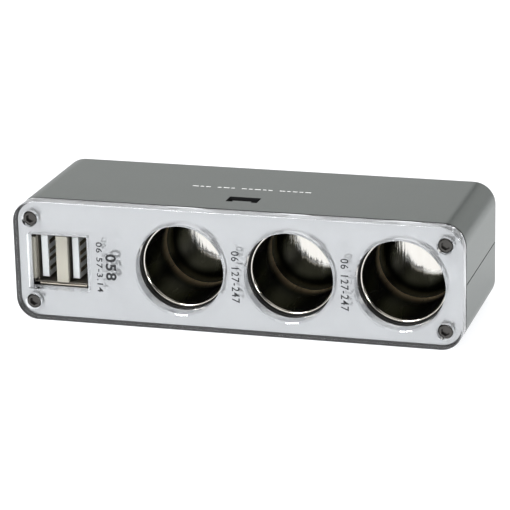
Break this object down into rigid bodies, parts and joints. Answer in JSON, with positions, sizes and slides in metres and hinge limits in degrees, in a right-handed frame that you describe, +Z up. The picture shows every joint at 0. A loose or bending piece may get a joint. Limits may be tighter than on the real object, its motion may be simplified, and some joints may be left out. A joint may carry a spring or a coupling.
{
  "type": "car power socket splitter",
  "caption": "Flat box with round accessory sockets in a row beside upright USB outlets, behind a clear screwed front plate over silver film, in a two-part grey shell.",
  "frame": {"origin": "centre of the housing's flat base, without the cord inlet", "axes": "+X along the row of sockets from the USB end, +Y from the front plate to the back, +Z up"},
  "size_m": [0.116, 0.043, 0.0315],
  "materials": {
    "clear_plate": "clear polished polycarbonate",
    "silver_film": "silver mirror film",
    "black_screw": "black oxide cap screw",
    "black_plastic": "moulded black ABS",
    "grey_shell": "satin grey-painted ABS",
    "cup_nickel": "deep-drawn nickel-plated steel",
    "contact_plate": "nickel-plated brass",
    "steel": "zinc-plated steel",
    "brass": "rolled brass",
    "bright_nickel": "tin-plated sheet steel",
    "cream_plastic": "moulded cream nylon",
    "white_plastic": "moulded white nylon",
    "gold_contact": "gold-flashed contact strip",
    "board": "green solder mask on glass-epoxy board",
    "ferrite": "sintered ferrite",
    "copper_wire": "enamelled copper wire",
    "capacitor_sleeve": "shrink sleeve on an aluminium can",
    "chip_resin": "moulded epoxy resin",
    "inlet_rubber": "moulded black PVC",
    "red_wire": "red PVC insulation",
    "black_wire": "black PVC insulation"
  },
  "bodies": {
    "housing": {"face_plate": "clear_plate", "foil_panel": "silver_film", "plate_screws": "black_screw", "carrier": "black_plastic", "top_shell": "grey_shell", "bottom_shell": "grey_shell", "shell_screws": "black_screw", "socket_cup_1": "cup_nickel", "socket_cup_2": "cup_nickel", "socket_cup_3": "cup_nickel", "insulating_bush_1": "black_plastic", "insulating_bush_2": "black_plastic", "insulating_bush_3": "black_plastic", "contact_spring_1": "steel", "contact_spring_2": "steel", "contact_spring_3": "steel", "bush_clips": "steel", "positive_bar": "brass", "ground_strip": "steel", "bar_screws": "steel", "usb_shield": "bright_nickel", "usb_insulator": "cream_plastic", "usb_tongues": "white_plastic", "usb_contacts": "gold_contact", "circuit_board": "board", "choke_core": "ferrite", "choke_winding": "copper_wire", "big_capacitor": "capacitor_sleeve", "small_capacitor": "capacitor_sleeve", "converter_chip": "chip_resin", "rectifier_diode": "chip_resin", "cord_inlet": "inlet_rubber", "positive_lead": "red_wire", "ground_lead": "black_wire"},
    "contact_1": {"contact_1": "contact_plate", "spring_seat_1": "brass"},
    "contact_2": {"contact_2": "contact_plate", "spring_seat_2": "brass"},
    "contact_3": {"contact_3": "contact_plate", "spring_seat_3": "brass"}
  },
  "joints": [
    {"name": "contact_1_press", "type": "slide", "parent": "housing", "child": "contact_1", "axis": [0, 1, 0], "range_m": [0, 0.0008], "stiffness_N_per_m": 1500, "springref_m": -0.0015, "deforming": ["contact_spring_1"]},
    {"name": "contact_2_press", "type": "slide", "parent": "housing", "child": "contact_2", "axis": [0, 1, 0], "range_m": [0, 0.0008], "stiffness_N_per_m": 1500, "springref_m": -0.0015, "deforming": ["contact_spring_2"]},
    {"name": "contact_3_press", "type": "slide", "parent": "housing", "child": "contact_3", "axis": [0, 1, 0], "range_m": [0, 0.0008], "stiffness_N_per_m": 1500, "springref_m": -0.0015, "deforming": ["contact_spring_3"]}
  ]
}
